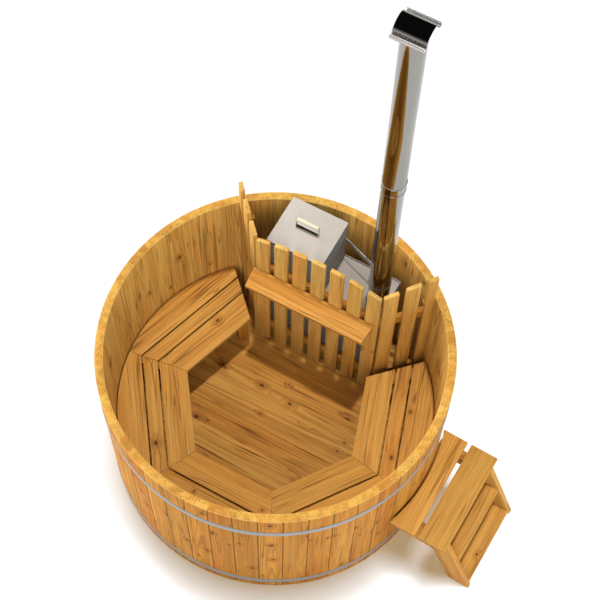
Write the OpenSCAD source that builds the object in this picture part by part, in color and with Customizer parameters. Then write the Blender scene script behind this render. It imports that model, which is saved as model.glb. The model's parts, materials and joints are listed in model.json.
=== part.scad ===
// Round wooden hot tub with an inside stove, a slatted stove guard, a bench ring and outside steps.
// Millimetres. The tub's axis is Z and the ground is Z = 0. The stove stands on the +Y side, the steps on +X.

/* [Tub wall] */
// Outside diameter of the tub
tub_d = 1800; // [1700:10:2100]
// Height of the wall above the ground
tub_h = 1080; // [1000:10:1180]
// Thickness of a stave
stave_t = 44; // [38:1:48]
// Number of staves round the wall
stave_n = 46; // [36:1:60]
// Radius of the round bead on a stave's edge
bead_r = 6; // [4:0.5:8]
// Width of the joint between two staves
stave_joint = 0.2; // [0.1:0.05:0.5]
// Depth of the groove that holds the floor
croze_depth = 12; // [8:1:16]

/* [Steel hoops] */
// Width of a hoop band
hoop_w = 45; // [20:1:60]
// Thickness of a hoop band
hoop_t = 2; // [1.5:0.5:4]
// Height of the middle of the upper hoop
hoop_high_z = 900; // [700:10:960]
// Height of the middle of the lower hoop
hoop_low_z = 86; // [80:1:120]
// Distance between the two lugs of a hoop
lug_gap = 60; // [40:2:90]
// Diameter of the tensioning bolt
hoop_bolt_d = 8; // [6:1:10]

/* [Floor] */
// Thickness of the floor boards
floor_t = 32; // [26:1:38]
// Width of a floor board
floor_board_w = 135; // [110:1:160]
// Height of the bearers under the floor
bearer_h = 60; // [56:1:64]
// Width of a bearer
bearer_w = 45; // [35:1:60]
// Number of bearers on each side of the middle one
bearer_pairs = 2; // [1:1:3]

/* [Drain] */
// Distance of the drain's middle from the inside of the wall
drain_inset = 134.5; // [110:0.5:160]
// Gap between the drain's nut and the last bearer
drain_gap = 10; // [4:1:20]
// Bore of the drain pipe
drain_bore = 34; // [24:1:36]
// Wall of the drain pipe
drain_wall = 3; // [2:0.5:4]
// Diameter of the drain's flange
drain_flange_d = 70; // [60:1:78]
// Length of the drain pipe outside the wall
spout_out = 4; // [2:1:20]
// Diameter of the spout that a hose slides onto
spout_d = 38; // [37:0.5:39.5]
// Length of that spout
spout_l = 36; // [25:1:60]

/* [Bench ring] */
// Height of the seat above the ground
bench_z = 400; // [360:5:430]
// Distance from the tub's axis to the front edge of the seat
bench_front = 456; // [440:1:500]
// Width of the front board
bench_board_a = 147; // [110:1:160]
// Width of the middle board
bench_board_b = 76; // [60:1:90]
// Gap between the seat boards
bench_gap = 10; // [5:1:14]
// Thickness of the seat boards
bench_t = 28; // [22:1:34]
// Gap between the seat's curved edge and the wall
bench_wall_gap = 6; // [4:1:12]
// Width of a beam under the seat
beam_w = 60; // [45:1:80]
// Height of a beam under the seat
beam_h = 45; // [35:1:60]
// How far a leg stands back from the seat's front corner
leg_setback = 20; // [5:1:50]
// Depth of a leg
leg_d = 45; // [35:1:60]
// Depth of the blocks on the wall that carry the beams
block_d = 40; // [30:1:50]

/* [Stove guard] */
// Distance from the tub's axis to the front of the guard
guard_y = 430; // [424:1:436]
// Thickness of a picket
picket_t = 22; // [18:1:24]
// Width of a picket
picket_w = 75; // [60:1:84]
// Number of front pickets
picket_n = 7; // [5:1:8]
// Gap between the corner of the guard and the pickets beside it
corner_gap = 11; // [8:1:20]
// Height of the top of the middle picket
guard_top = 1250; // [1200:5:1290]
// Radius of the arch along the tops of the front pickets
guard_arch_r = 1080; // [900:10:1400]
// Number of pickets in each side row
side_n = 3; // [2:1:3]
// Width of the side picket that is cut to fit beside the wall
picket_last_w = 50; // [35:1:70]
// Distance of the side pickets' faces from the end of the seat
side_offset = 44; // [38:1:48]
// Height of the side pickets' tops beside the corner
side_top = 1212; // [1180:2:1240]
// Rise of the side pickets' tops per unit of length
side_slope = 0.29; // [0:0.01:0.4]
// Thickness of a guard rail
rail_t = 24; // [18:1:26]
// Height of a guard rail
rail_h = 70; // [50:1:90]
// Height of the top edge of the lower rail
rail_low_top = 270; // [240:5:300]
// Height of the top edge of the upper rail
rail_high_top = 925; // [905:5:960]
// Side of the square battens on the wall
batten_w = 30; // [24:1:36]

/* [Shelf] */
// Height of the shelf's top
shelf_z = 900; // [850:5:950]
// Depth of the shelf
shelf_d = 122; // [90:1:140]
// How much shorter the shelf is than the guard's front, at its right end
shelf_short = 30; // [0:1:120]
// How much shorter each end is at the front
shelf_end_cut = 12; // [0:1:40]
// Thickness of the shelf
shelf_t = 28; // [22:1:34]
// Height of the shelf's brackets
bracket_h = 95; // [70:1:130]

/* [Stove] */
// Width of the firebox
stove_w = 650; // [600:5:660]
// Gap between the guard's rails and the stove
stove_gap = 8; // [6:1:20]
// Gap between the stove's back corner and the tub's wall
stove_wall_gap = 20; // [10:1:60]
// Distance of the stove's left wall from the middle of the tub
stove_left = 320; // [300:2:330]
// Height of the firebox's top
stove_top = 800; // [740:5:830]
// Height of the feet
stove_foot_h = 48; // [30:1:80]
// Wall of the stove's sheet
sheet_t = 4; // [3:0.5:6]
// Width of the loading shaft
shaft_w = 315; // [280:5:330]
// Height of the loading shaft's top
shaft_top = 1148; // [1120:2:1180]
// Height of the edge along the back of the firebox's top
upstand_h = 12; // [6:1:20]
// Thickness of the grate
grate_t = 14; // [10:1:20]
// Height of the grate above the stove's bottom
grate_lift = 56; // [40:1:80]

/* [Lid] */
// Thickness of the lid's sheet
lid_t = 2; // [1.5:0.5:3]
// Height of the lid's folded edge
lid_rim_h = 20; // [12:1:30]
// Length of the wooden grip
grip_l = 126; // [100:1:160]
// Diameter of the wooden grip
grip_d = 22; // [18:1:30]
// Height of the grip's middle above the lid
grip_lift = 74; // [50:1:90]

/* [Flue] */
// Diameter of the flue pipe
flue_d = 115; // [100:1:130]
// Wall of the flue pipe
flue_wall = 1.5; // [1:0.1:3]
// Width of the flange at the flue's foot
flue_flange = 2.5; // [2:0.5:10]
// Gap between that flange and the edge of the stove's top
flue_edge_gap = 1; // [0.5:0.5:40]
// Height of the flue's top end
flue_top = 3085; // [2500:5:3400]
// Height of the joint between the two pipes
flue_joint_z = 1940; // [1500:5:2200]
// Length of the joint's sleeve
flue_sleeve = 62; // [40:1:90]
// Height of the strut that steadies the flue
strut_z = 1000; // [900:5:1080]
// Height of the strut's bar
strut_h = 30; // [20:1:40]
// Thickness of the strut's bar
strut_t = 4; // [3:0.5:6]

/* [Rain cap] */
// Length of the cap along its curls
cap_l = 150; // [130:1:220]
// How far the arch reaches past the flue on each side
cap_overhang = 1; // [0.5:0.5:30]
// Rise of the cap's arch
cap_rise = 52; // [30:1:56]
// Height of the arch's ends above the flue's top end
cap_lift = 25; // [15:1:60]
// Radius of the curls
curl_r = 12; // [6:0.5:16]
// Thickness of the cap's sheet
cap_t = 1.5; // [1:0.5:3]

/* [Steps] */
// Turn of the steps from the +X axis
steps_turn = -2; // [-10:0.5:10]
// Height of the platform
platform_z = 470; // [420:5:520]
// Length of the platform boards
platform_l = 590; // [520:5:640]
// Distance over the outsides of the two side boards
side_span = 510; // [440:5:560]
// Distance from the tub's wall to the platform's inner edge
platform_wall_gap = 12; // [4:1:25]
// Distance from the tub's wall to the front of the platform
platform_reach = 282; // [260:2:340]
// Width of the outer platform board
platform_board_w = 154; // [110:1:160]
// Gap between the two platform boards
platform_gap = 22; // [15:1:50]
// Thickness of the boards of the steps
step_t = 28; // [22:1:34]
// Depth of the side boards' level arm
arm_h = 142; // [110:1:150]
// Level width of the side boards' leg
leg_foot_w = 126; // [100:1:150]
// Distance from the tub's wall to the tip of a foot
foot_reach = 460; // [420:5:520]
// Height of the middle tread
tread_z = 245; // [200:5:260]
// Width of the middle tread
tread_w = 86; // [60:1:90]
// Width of the lowest board
low_board_w = 100; // [50:1:110]
// Side of the cleats inside the steps
cleat_w = 25; // [18:1:30]

/* [Fasteners] */
// Diameter of a wood screw's shank
screw_d = 5; // [4:0.5:6]
// Diameter of a wood screw's head
screw_head_d = 9; // [8:0.5:11]

/* [Hidden] */
$fn = 96;

wood = "#D9964A";
wood_light = "#E5AC63";
wood_pale = "#EFE3C0";
steel = "#9A9DA0";
aluminium = "#CFC8C0";
bright_steel = "#C9CED2";
iron = "#3A3A3C";
rubber = "#2B2B2B";

clear = 0.3;          // clearance beside curved faces and in loose fits
tub_r = tub_d / 2;
wall_r = tub_r - stave_t;
stave_a = 360 / stave_n;
joint_a = stave_joint / tub_r * 180 / PI;
bead_mid_r = (tub_r + wall_r) / 2;
floor_z = bearer_h + floor_t;
floor_r = wall_r + croze_depth - 0.5;
tongue_w = 8;
tongue_h = floor_t / 3;
hoop_r = tub_r + clear;
lug_t = 6;
lug_out = 32;
lug_bolt_out = 18;
bolt_spare = 24;
hoop_nut_h = 7;

// The drain stands at the middle of the stave opposite the steps, under the seat
drain_stave = round(180 / stave_a);
drain_a = drain_stave * stave_a;
drain_r_out = drain_bore / 2 + drain_wall;
drain_pipe_z = drain_r_out + 10;
drain_flange_t = 4;
drain_nut_h = 8;
drain_nut_r = drain_r_out + 9;
drain_reach = wall_r - drain_inset;
bearer_pitch = (drain_reach - drain_nut_r - drain_gap - bearer_w / 2) / bearer_pairs;
spout_end = tub_r + spout_out + spout_l;
plug_skirt = 22;
plug_cap_t = 6;
plug_ring_r = 14;
plug_ring_wire = 2;

// The seat's five lengths leave a quarter of the tub open for the stove
open_a = 90;
bench_n = 5;
bench_a = (360 - open_a) / bench_n;
bench_first_a = 90 + open_a / 2;
mitre_gap = 1.5;
bench_r = wall_r - bench_wall_gap;
bench_rows = ["front", "middle", "back"];
row_start = [
    bench_front,
    bench_front + bench_board_a + bench_gap,
    bench_front + bench_board_a + bench_board_b + 2 * bench_gap
];
row_end = [row_start[0] + bench_board_a, row_start[1] + bench_board_b, bench_r];
bench_under = bench_z - bench_t;
beam_under = bench_under - beam_h;
corner_r = bench_front / cos(bench_a / 2);
beam_start = corner_r + leg_setback;
beam_side = beam_w / 2 + 6;
block_h = 90;
screw_bite = 14;
bench_screw_l = beam_h + screw_bite;

// The guard's side rows run beside the ends of the seat, at 45 degrees
side_a = open_a / 2;
guard_back = guard_y + picket_t;
rail_back = guard_back + rail_t;
side_back = side_offset + picket_t;
side_rail_back = side_back + rail_t;
guard_corner_x = (guard_y * cos(side_a) - side_offset) / sin(side_a);
picket_pitch = (2 * (guard_corner_x - corner_gap) - picket_w) / (picket_n - 1);
side_start = guard_corner_x * cos(side_a) + guard_y * sin(side_a) + corner_gap;
side_wall_end = sqrt(pow(wall_r - clear, 2) - pow(side_back, 2)) - 0.7;
side_pitch = (side_wall_end - picket_last_w - side_start) / (side_n - 1);
rail_screw_z = [rail_low_top - rail_h / 2, rail_high_top - rail_h / 2];
shelf_front = guard_y - shelf_d;
bracket_d = shelf_d - 30;
bracket_t = 24;
bracket_x = [-2 * picket_pitch, 0, 2 * picket_pitch];

// The stove is a low firebox with a tall loading shaft on its left half
stove_z = floor_z + stove_foot_h;
stove_x0 = -stove_left;
stove_x1 = stove_x0 + stove_w;
stove_y = rail_back + stove_gap;
stove_y1 = sqrt(pow(wall_r - stove_wall_gap, 2) - pow(max(stove_x1, -stove_x0), 2));
stove_d = stove_y1 - stove_y;
shaft_x1 = stove_x0 + shaft_w;
ledge_w = 16;
weld_gap = 0.2;
ledge_t = 4;
grate_z = stove_z + grate_lift;
grate_bar = 12;
grate_bars = 11;
foot_x = [stove_x0 + 90, stove_x1 - 90];
foot_l = stove_d - 40;
foot_w = 60;
lid_gap = 1;
lid_out = lid_gap + lid_t;
lid_x = (stove_x0 + shaft_x1) / 2;
lid_y = stove_y + stove_d / 2;
ear_t = 3;
ear_w = 18;
pin_d = 8;

// The flue stands on the firebox's top, in the middle of its depth
flue_r = flue_d / 2;
flue_y = stove_y + stove_d / 2;
collar_z = stove_top;
collar_t = 3;
collar_r = flue_r + flue_flange;
flue_x = stove_x1 - sheet_t - flue_edge_gap - collar_r;
spigot_h = 70;
spigot_r = flue_r - flue_wall - clear;
sleeve_r = flue_r + clear;
ring_r = 2.2;
clamp_r = flue_r + clear;
clamp_t = 2.5;
clamp_a = 130;
strut_end = [flue_x + (clamp_r + clamp_t) * cos(clamp_a), flue_y + (clamp_r + clamp_t) * sin(clamp_a)];
strut_start = [shaft_x1, stove_y1 - 14];
strut_dx = strut_end[0] - strut_start[0];
strut_dy = strut_end[1] - strut_start[1];
strut_a = atan2(strut_dy, strut_dx);
strut_l = norm([strut_dx, strut_dy]);
strut_bolt_d = 6;
strut_bolt_at = strut_l - 24;
strut_foot_l = 40;
strut_tab_h = strut_h - 4;

// The rain cap is an arched sheet whose two long edges curl outwards
cap_half = flue_r + cap_overhang;
cap_r = (cap_half * cap_half + cap_rise * cap_rise) / (2 * cap_rise);
cap_mid_z = flue_top + cap_lift + cap_rise - cap_r;
cap_a = asin(cap_half / cap_r);
cap_in_r = cap_r - cap_t - clear;
curl_sweep = 250;
strap_w = 18;
strap_t = 2;
strap_down = 45;
strap_y = sqrt(pow(flue_r - flue_wall - clear, 2) - pow(strap_w / 2, 2));

// The steps are drawn along +X and then turned
step_under = platform_z - step_t;
platform_front = tub_r + platform_reach;
board_outer_start = platform_front - platform_board_w;
board_inner_end = board_outer_start - platform_gap;
board_cut_r = tub_r + platform_wall_gap;
foot_tip = tub_r + foot_reach;
side_in = side_span / 2 - step_t;
arm_front = platform_front - 5;
leg_lean = (foot_tip - arm_front) / step_under;
arm_under = step_under - arm_h;
arm_start = sqrt(pow(tub_r + 1, 2) - pow(side_in, 2));
tread_front = foot_tip - leg_lean * tread_z - 2;
low_front = foot_tip - leg_lean * step_t - 2;
ledger_w = 44;
ledger_h = 70;

// ---------- shared shapes ----------

// Countersunk screw along +Z, its head's flat face at Z = 0 and the shank above it
module screw(l) {
    head_h = (screw_head_d - screw_d) / 2;
    rotate_extrude()
        polygon([[0, 0], [screw_head_d / 2, 0], [screw_head_d / 2, 0.6], [screw_d / 2, head_h + 0.6],
                 [screw_d / 2, l - screw_d], [0, l]]);
}

// The hole that such a screw needs
module screw_hole(l) {
    head_h = (screw_head_d - screw_d) / 2;
    hole_r = screw_d / 2 + clear;
    head_r = screw_head_d / 2 + clear;
    rotate_extrude()
        polygon([[0, -1], [head_r, -1], [head_r, 0.6], [hole_r, head_h + 0.6 + clear],
                 [hole_r, l - screw_d + clear], [0, l + clear]]);
}

// A pipe along Z
module pipe(r, wall, z0, z1) {
    translate([0, 0, z0])
        difference() {
            cylinder(r = r, h = z1 - z0);
            translate([0, 0, -1]) cylinder(r = r - wall, h = z1 - z0 + 2);
        }
}

// ---------- tub ----------

// Bent round bar that follows the drain, from above the floor to a given distance from the axis
module drain_path(r, end) {
    rotate([0, 0, drain_a])
        translate([drain_reach, 0, drain_pipe_z]) {
            cylinder(r = r, h = floor_z - drain_pipe_z + 1);
            sphere(r = r);
            rotate([0, 90, 0]) cylinder(r = r, h = end - drain_reach);
        }
}

module stave(k) {
    rotate([0, 0, k * stave_a])
        difference() {
            union() {
                rotate([0, 0, -(stave_a - joint_a) / 2])
                    rotate_extrude(angle = stave_a - joint_a)
                        polygon([[wall_r, 0], [tub_r, 0], [tub_r, tub_h], [wall_r, tub_h],
                                 [wall_r, floor_z + 0.2], [wall_r + croze_depth, floor_z + 0.2],
                                 [wall_r + croze_depth, bearer_h - 0.2], [wall_r, bearer_h - 0.2]]);
                rotate([0, 0, stave_a / 2])
                    translate([bead_mid_r, 0, 0]) cylinder(r = bead_r, h = tub_h);
            }
            rotate([0, 0, -stave_a / 2])
                translate([bead_mid_r, 0, -1]) cylinder(r = bead_r + clear, h = tub_h + 2);
            if (k == drain_stave)
                rotate([0, 0, -k * stave_a]) drain_path(drain_r_out + clear, tub_r + 1);
        }
}

module staves() {
    color(wood)
        for (k = [0:stave_n - 1]) stave(k);
}

module hoop(z) {
    color(steel)
        translate([0, 0, z - hoop_w / 2]) {
            gap_a = 2 * asin((lug_gap / 2 + lug_t / 2) / hoop_r);
            rotate([0, 0, 90 + gap_a / 2])
                rotate_extrude(angle = 360 - gap_a)
                    translate([hoop_r, 0]) square([hoop_t, hoop_w]);
            for (s = [-1, 1])
                difference() {
                    translate([s * (lug_gap / 2 + lug_t / 2) - lug_t / 2, hoop_r - 0.4, 0])
                        cube([lug_t, lug_out, hoop_w]);
                    translate([s * (lug_gap / 2 + lug_t / 2), hoop_r + lug_bolt_out, hoop_w / 2])
                        rotate([0, 90, 0]) cylinder(d = hoop_bolt_d + 1, h = 3 * lug_t, center = true);
                    translate([0, 0, -1]) cylinder(r = hoop_r, h = hoop_w + 2);
                }
        }
}

module hoop_upper() hoop(hoop_high_z);

module hoop_lower() hoop(hoop_low_z);

// Threaded rod with a nut outside each lug
module hoop_bolts() {
    rod_l = lug_gap + 2 * lug_t + bolt_spare;
    color(bright_steel)
        for (z = [hoop_low_z, hoop_high_z])
            translate([0, hoop_r + lug_bolt_out, z])
                rotate([0, 90, 0]) {
                    cylinder(d = hoop_bolt_d, h = rod_l, center = true);
                    for (s = [-1, 1])
                        translate([0, 0, s * (lug_gap / 2 + lug_t + hoop_nut_h / 2 + 0.1)])
                            cylinder(d = hoop_bolt_d * 1.9, h = hoop_nut_h, center = true, $fn = 6);
                }
}

module floor_board(y0) {
    w = floor_board_w - clear;
    g = clear;
    mid = bearer_h + floor_t / 2;
    intersection() {
        translate([-floor_r, 0, 0])
            rotate([90, 0, 90])
                linear_extrude(height = 2 * floor_r)
                    polygon([[y0, bearer_h], [y0 + w, bearer_h],
                             [y0 + w, mid - tongue_h / 2], [y0 + w + tongue_w, mid - tongue_h / 2],
                             [y0 + w + tongue_w, mid + tongue_h / 2], [y0 + w, mid + tongue_h / 2],
                             [y0 + w, floor_z], [y0, floor_z],
                             [y0, mid + tongue_h / 2 + g], [y0 + tongue_w + g, mid + tongue_h / 2 + g],
                             [y0 + tongue_w + g, mid - tongue_h / 2 - g], [y0, mid - tongue_h / 2 - g]]);
        cylinder(r = floor_r, h = floor_z + 1);
    }
}

module floor_boards() {
    count = ceil(2 * floor_r / floor_board_w);
    first = -count * floor_board_w / 2;
    color(wood)
        difference() {
            for (k = [0:count - 1]) floor_board(first + k * floor_board_w);
            drain_path(drain_r_out + clear, tub_r);
        }
}

module floor_bearers() {
    color(wood)
        intersection() {
            for (k = [-bearer_pairs:bearer_pairs])
                translate([k * bearer_pitch - bearer_w / 2, -tub_r, 0]) cube([bearer_w, tub_d, bearer_h]);
            cylinder(r = wall_r - 2, h = bearer_h);
        }
}

// ---------- drain ----------

module drain_fitting() {
    color(bright_steel)
        difference() {
            union() {
                drain_path(drain_r_out, tub_r + spout_out);
                rotate([0, 0, drain_a]) {
                    translate([drain_reach, 0, floor_z + 0.05]) cylinder(d = drain_flange_d, h = drain_flange_t);
                    translate([spout_end - spout_l - 1, 0, drain_pipe_z])
                        rotate([0, 90, 0]) cylinder(d = spout_d, h = spout_l + 1);
                }
            }
            drain_path(drain_bore / 2, spout_end + 1);
            rotate([0, 0, drain_a])
                translate([drain_reach, 0, floor_z]) cylinder(d = drain_bore, h = 2 * drain_flange_t);
        }
}

// Hexagon nut that clamps the drain from below the floor
module drain_nut() {
    color(bright_steel)
        rotate([0, 0, drain_a])
            translate([drain_reach, 0, bearer_h - drain_nut_h - 0.1])
                difference() {
                    cylinder(r = drain_nut_r, h = drain_nut_h, $fn = 6);
                    translate([0, 0, -1]) cylinder(r = drain_r_out + 0.1, h = drain_nut_h + 2);
                }
}

module drain_plug() {
    top = floor_z + 0.05 + drain_flange_t;
    color(rubber)
        rotate([0, 0, drain_a])
            translate([drain_reach, 0, top]) {
                translate([0, 0, 0.1]) cylinder(d = drain_bore + 14, h = plug_cap_t);
                translate([0, 0, -plug_skirt]) cylinder(d = drain_bore - 2 * clear, h = plug_skirt + 1);
                translate([0, 0, plug_cap_t + plug_ring_r - 1])
                    rotate([90, 0, 0])
                        rotate_extrude()
                            translate([plug_ring_r, 0]) circle(r = plug_ring_wire);
            }
}

// ---------- bench ring ----------

// Outline of one board of a bench length, with X square to the seat's front edge
module bench_outline(row) {
    a0 = row_start[row];
    a1 = row == 2 ? tub_r : row_end[row];
    cut = mitre_gap / 2 / cos(bench_a / 2);
    h0 = a0 * tan(bench_a / 2) - cut;
    h1 = a1 * tan(bench_a / 2) - cut;
    intersection() {
        polygon([[a0, -h0], [a1, -h1], [a1, h1], [a0, h0]]);
        circle(r = bench_r);
    }
}

module bench_board(k, row) {
    color(wood)
        difference() {
            rotate([0, 0, bench_first_a + (k - 0.5) * bench_a])
                translate([0, 0, bench_under])
                    linear_extrude(height = bench_t) bench_outline(row);
            for (corner = [k - 1, k])
                at_bench_screws(corner) screw_hole(bench_screw_l);
        }
}

// Places the children at each corner and end of the seat, with X pointing outwards
module at_corners() {
    for (k = [0:bench_n]) {
        shift = k == 0 ? beam_side : k == bench_n ? -beam_side : 0;
        rotate([0, 0, bench_first_a + k * bench_a])
            translate([0, shift, 0])
                children();
    }
}

module bench_beams() {
    color(wood)
        difference() {
            intersection() {
                at_corners()
                    translate([beam_start, -beam_w / 2, beam_under]) cube([tub_r, beam_w, beam_h]);
                cylinder(r = wall_r - clear, h = tub_h);
            }
            for (k = [0:bench_n])
                at_bench_screws(k) screw_hole(bench_screw_l);
        }
}

module bench_legs() {
    color(wood)
        at_corners()
            translate([beam_start, -beam_w / 2, floor_z]) cube([leg_d, beam_w, beam_under - floor_z]);
}

module bench_wall_blocks() {
    color(wood)
        intersection() {
            at_corners()
                translate([wall_r - block_d, -beam_w / 2, beam_under - block_h]) cube([stave_t, beam_w, block_h]);
            cylinder(r = wall_r - clear, h = tub_h);
        }
}

// Places the children under one beam where a screw goes up into a seat board
module at_bench_screws(k) {
    front = (row_start[0] + row_end[0]) / 2 / cos(bench_a / 2);
    middle = (row_start[1] + row_end[1]) / 2 / cos(bench_a / 2);
    back = wall_r - block_d - 16;
    sides = k == 0 ? [beam_side] : k == bench_n ? [-beam_side] : [-beam_w / 3, beam_w / 3];
    rotate([0, 0, bench_first_a + k * bench_a])
        for (side = sides, along = [front, middle, back])
            translate([along, side, beam_under]) children();
}

module bench_screws() {
    color(bright_steel)
        for (k = [0:bench_n])
            at_bench_screws(k) screw(bench_screw_l);
}

// ---------- stove guard ----------

// Places the children on a side row: X runs out along the row, Y towards the stove, mirrored for the left row
module on_side_row(left) {
    mirror([left ? 1 : 0, 0, 0])
        rotate([0, 0, 90 - side_a])
            children();
}

module guard_screw_holes() {
    at_guard_screws() screw_hole(rail_t + screw_bite);
}

module pickets_front() {
    color(wood_light)
        difference() {
            intersection() {
                for (k = [0:picket_n - 1])
                    translate([(k - (picket_n - 1) / 2) * picket_pitch - picket_w / 2, guard_y, floor_z])
                        cube([picket_w, picket_t, guard_top - floor_z]);
                translate([0, guard_y - 1, guard_top - guard_arch_r])
                    rotate([-90, 0, 0]) cylinder(r = guard_arch_r, h = picket_t + 2, $fn = 180);
            }
            guard_screw_holes();
        }
}

module side_picket(k) {
    x0 = side_start + k * side_pitch;
    x1 = min(x0 + picket_w, side_wall_end);
    z0 = side_top + (x0 - side_start) * side_slope;
    z1 = side_top + (x1 - side_start) * side_slope;
    translate([0, side_back, 0])
        rotate([90, 0, 0])
            linear_extrude(height = picket_t)
                polygon([[x0, floor_z], [x1, floor_z], [x1, z1], [x0, z0]]);
}

module pickets_side(left) {
    color(wood_light)
        difference() {
            on_side_row(left)
                for (k = [0:side_n - 1]) side_picket(k);
            guard_screw_holes();
        }
}

module pickets_left() pickets_side(true);

module pickets_right() pickets_side(false);

// Distance along a side row at which an offset line meets a line across the front
function meet(across, offset) = across / sin(side_a) - offset;

// Half the length of the front rail at a given distance from the axis
function rail_half(across, offset) = (meet(across, offset) - offset) * cos(side_a);

module guard_rails(top) {
    front_half = rail_half(guard_back, side_back) - clear;
    back_half = rail_half(rail_back, side_rail_back) - clear;
    color(wood)
        difference() {
            union() {
                translate([0, 0, top - rail_h])
                    linear_extrude(height = rail_h)
                        polygon([[-front_half, guard_back], [front_half, guard_back],
                                 [back_half, rail_back], [-back_half, rail_back]]);
                intersection() {
                    for (left = [false, true])
                        on_side_row(left)
                            translate([0, 0, top - rail_h])
                                linear_extrude(height = rail_h)
                                    polygon([[meet(guard_back, side_back), side_back], [tub_r, side_back],
                                             [tub_r, side_rail_back],
                                             [meet(rail_back, side_rail_back), side_rail_back]]);
                    cylinder(r = wall_r - clear, h = tub_h);
                }
            }
            guard_screw_holes();
        }
}

module guard_rails_upper() guard_rails(rail_high_top);

module guard_rails_lower() guard_rails(rail_low_top);

// Upright battens that join the ends of the side rails to the wall
module guard_wall_battens() {
    reach = sqrt(pow(wall_r, 2) - pow(side_rail_back + batten_w, 2));
    color(wood)
        intersection() {
            for (left = [false, true])
                on_side_row(left)
                    translate([reach - batten_w, side_rail_back, rail_low_top - rail_h - 40])
                        cube([2 * batten_w, batten_w, rail_high_top - rail_low_top + rail_h + 60]);
            cylinder(r = wall_r - clear, h = tub_h);
        }
}

// Places the children at the back of the rails, behind the middle of each picket, pointing at the front
module at_guard_screws() {
    for (z = rail_screw_z) {
        for (k = [0:picket_n - 1])
            translate([(k - (picket_n - 1) / 2) * picket_pitch, rail_back, z])
                rotate([90, 0, 0])
                    children();
        for (left = [false, true], k = [0:side_n - 1]) {
            x0 = side_start + k * side_pitch;
            x1 = min(x0 + picket_w, side_wall_end);
            at = k == side_n - 1 ? x0 + 12 : (x0 + x1) / 2;
            on_side_row(left)
                translate([at, side_rail_back, z])
                    rotate([90, 0, 0])
                        children();
        }
    }
}

module guard_screws() {
    color(bright_steel)
        at_guard_screws() screw(rail_t + screw_bite);
}

module shelf_board() {
    left = -guard_corner_x;
    right = guard_corner_x - shelf_short;
    color(wood_light)
        translate([0, 0, shelf_z - shelf_t])
            linear_extrude(height = shelf_t)
                polygon([[left, guard_y], [right, guard_y],
                         [right - shelf_end_cut, shelf_front], [left + shelf_end_cut, shelf_front]]);
}

module shelf_brackets() {
    top = shelf_z - shelf_t;
    nose = 18;
    color(wood)
        for (x = bracket_x)
            translate([x - bracket_t / 2, 0, 0])
                rotate([90, 0, 90])
                    linear_extrude(height = bracket_t)
                        polygon([[guard_y, top], [guard_y - bracket_d, top], [guard_y - bracket_d, top - nose],
                                 [guard_y - nose, top - bracket_h], [guard_y, top - bracket_h]]);
}

// ---------- stove ----------

// Stands a plate of the stove up from one corner, reaching x, y and z further
module stove_plate(corner, size) {
    translate(corner) cube(size);
}

// Firebox and shaft of flat plates, each a weld's width from the next
module stove_body() {
    t = sheet_t;
    w = weld_gap;
    low = stove_z + t + w;
    in_x = stove_x0 + t + w;
    in_y = stove_y + t + w;
    in_d = stove_d - 2 * t - 2 * w;
    right_w = stove_x1 - shaft_x1 - w;
    color(aluminium) {
        stove_plate([stove_x0, stove_y, stove_z], [stove_w, stove_d, t]);
        for (back = [0, 1]) {
            y = back ? stove_y1 - t : stove_y;
            stove_plate([stove_x0, y, low], [shaft_w, t, shaft_top - low]);
            stove_plate([shaft_x1 + w, y, low], [right_w, t, stove_top + back * upstand_h - low]);
        }
        stove_plate([stove_x0, in_y, low], [t, in_d, shaft_top - low]);
        stove_plate([stove_x1 - t, in_y, low], [t, in_d, stove_top + upstand_h - low]);
        stove_plate([shaft_x1 - t, in_y, stove_top - t], [t, in_d, shaft_top - stove_top + t]);
        difference() {
            stove_plate([shaft_x1 + w, in_y, stove_top - t], [right_w - t - w, in_d, t]);
            translate([flue_x, flue_y, stove_top - 2 * t]) cylinder(r = spigot_r - flue_wall, h = 4 * t);
        }
        for (y = [in_y, in_y + in_d - ledge_w])
            stove_plate([in_x, y, grate_z - ledge_t], [stove_w - 2 * t - 2 * w, ledge_w, ledge_t]);
    }
}

// Two bent-sheet feet across the stove's bottom
module stove_feet() {
    t = sheet_t;
    y0 = stove_y + (stove_d - foot_l) / 2;
    color(steel)
        for (x = foot_x)
            translate([x - foot_w / 2, y0 + foot_l, floor_z])
                rotate([90, 0, 0])
                    linear_extrude(height = foot_l)
                        difference() {
                            square([foot_w, stove_foot_h]);
                            translate([t, -1]) square([foot_w - 2 * t, stove_foot_h - t + 1]);
                        }
}

module stove_grate() {
    t = sheet_t;
    w = stove_w - 2 * t - 20;
    d = stove_d - 2 * t - 4;
    pitch = (w - grate_bar) / (grate_bars - 1);
    color(iron)
        translate([stove_x0 + t + 10, stove_y + t + 2, grate_z]) {
            for (y = [0, d - grate_bar]) translate([0, y, 0]) cube([w, grate_bar, grate_t]);
            for (k = [0:grate_bars - 1]) translate([k * pitch, 0, 0]) cube([grate_bar, d, grate_t]);
        }
}

module stove_lid() {
    w = shaft_w + 2 * lid_out;
    d = stove_d + 2 * lid_out;
    color(aluminium)
        difference() {
            translate([lid_x - w / 2, lid_y - d / 2, shaft_top - lid_rim_h]) cube([w, d, lid_rim_h + lid_t]);
            translate([lid_x - w / 2 + lid_t, lid_y - d / 2 + lid_t, shaft_top - lid_rim_h - 1])
                cube([w - 2 * lid_t, d - 2 * lid_t, lid_rim_h + 1]);
        }
}

// Places the children at the middle of the grip, with Z along it
module at_grip() {
    translate([lid_x, lid_y, shaft_top + lid_t + grip_lift])
        rotate([0, 90, 0])
            children();
}

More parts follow.
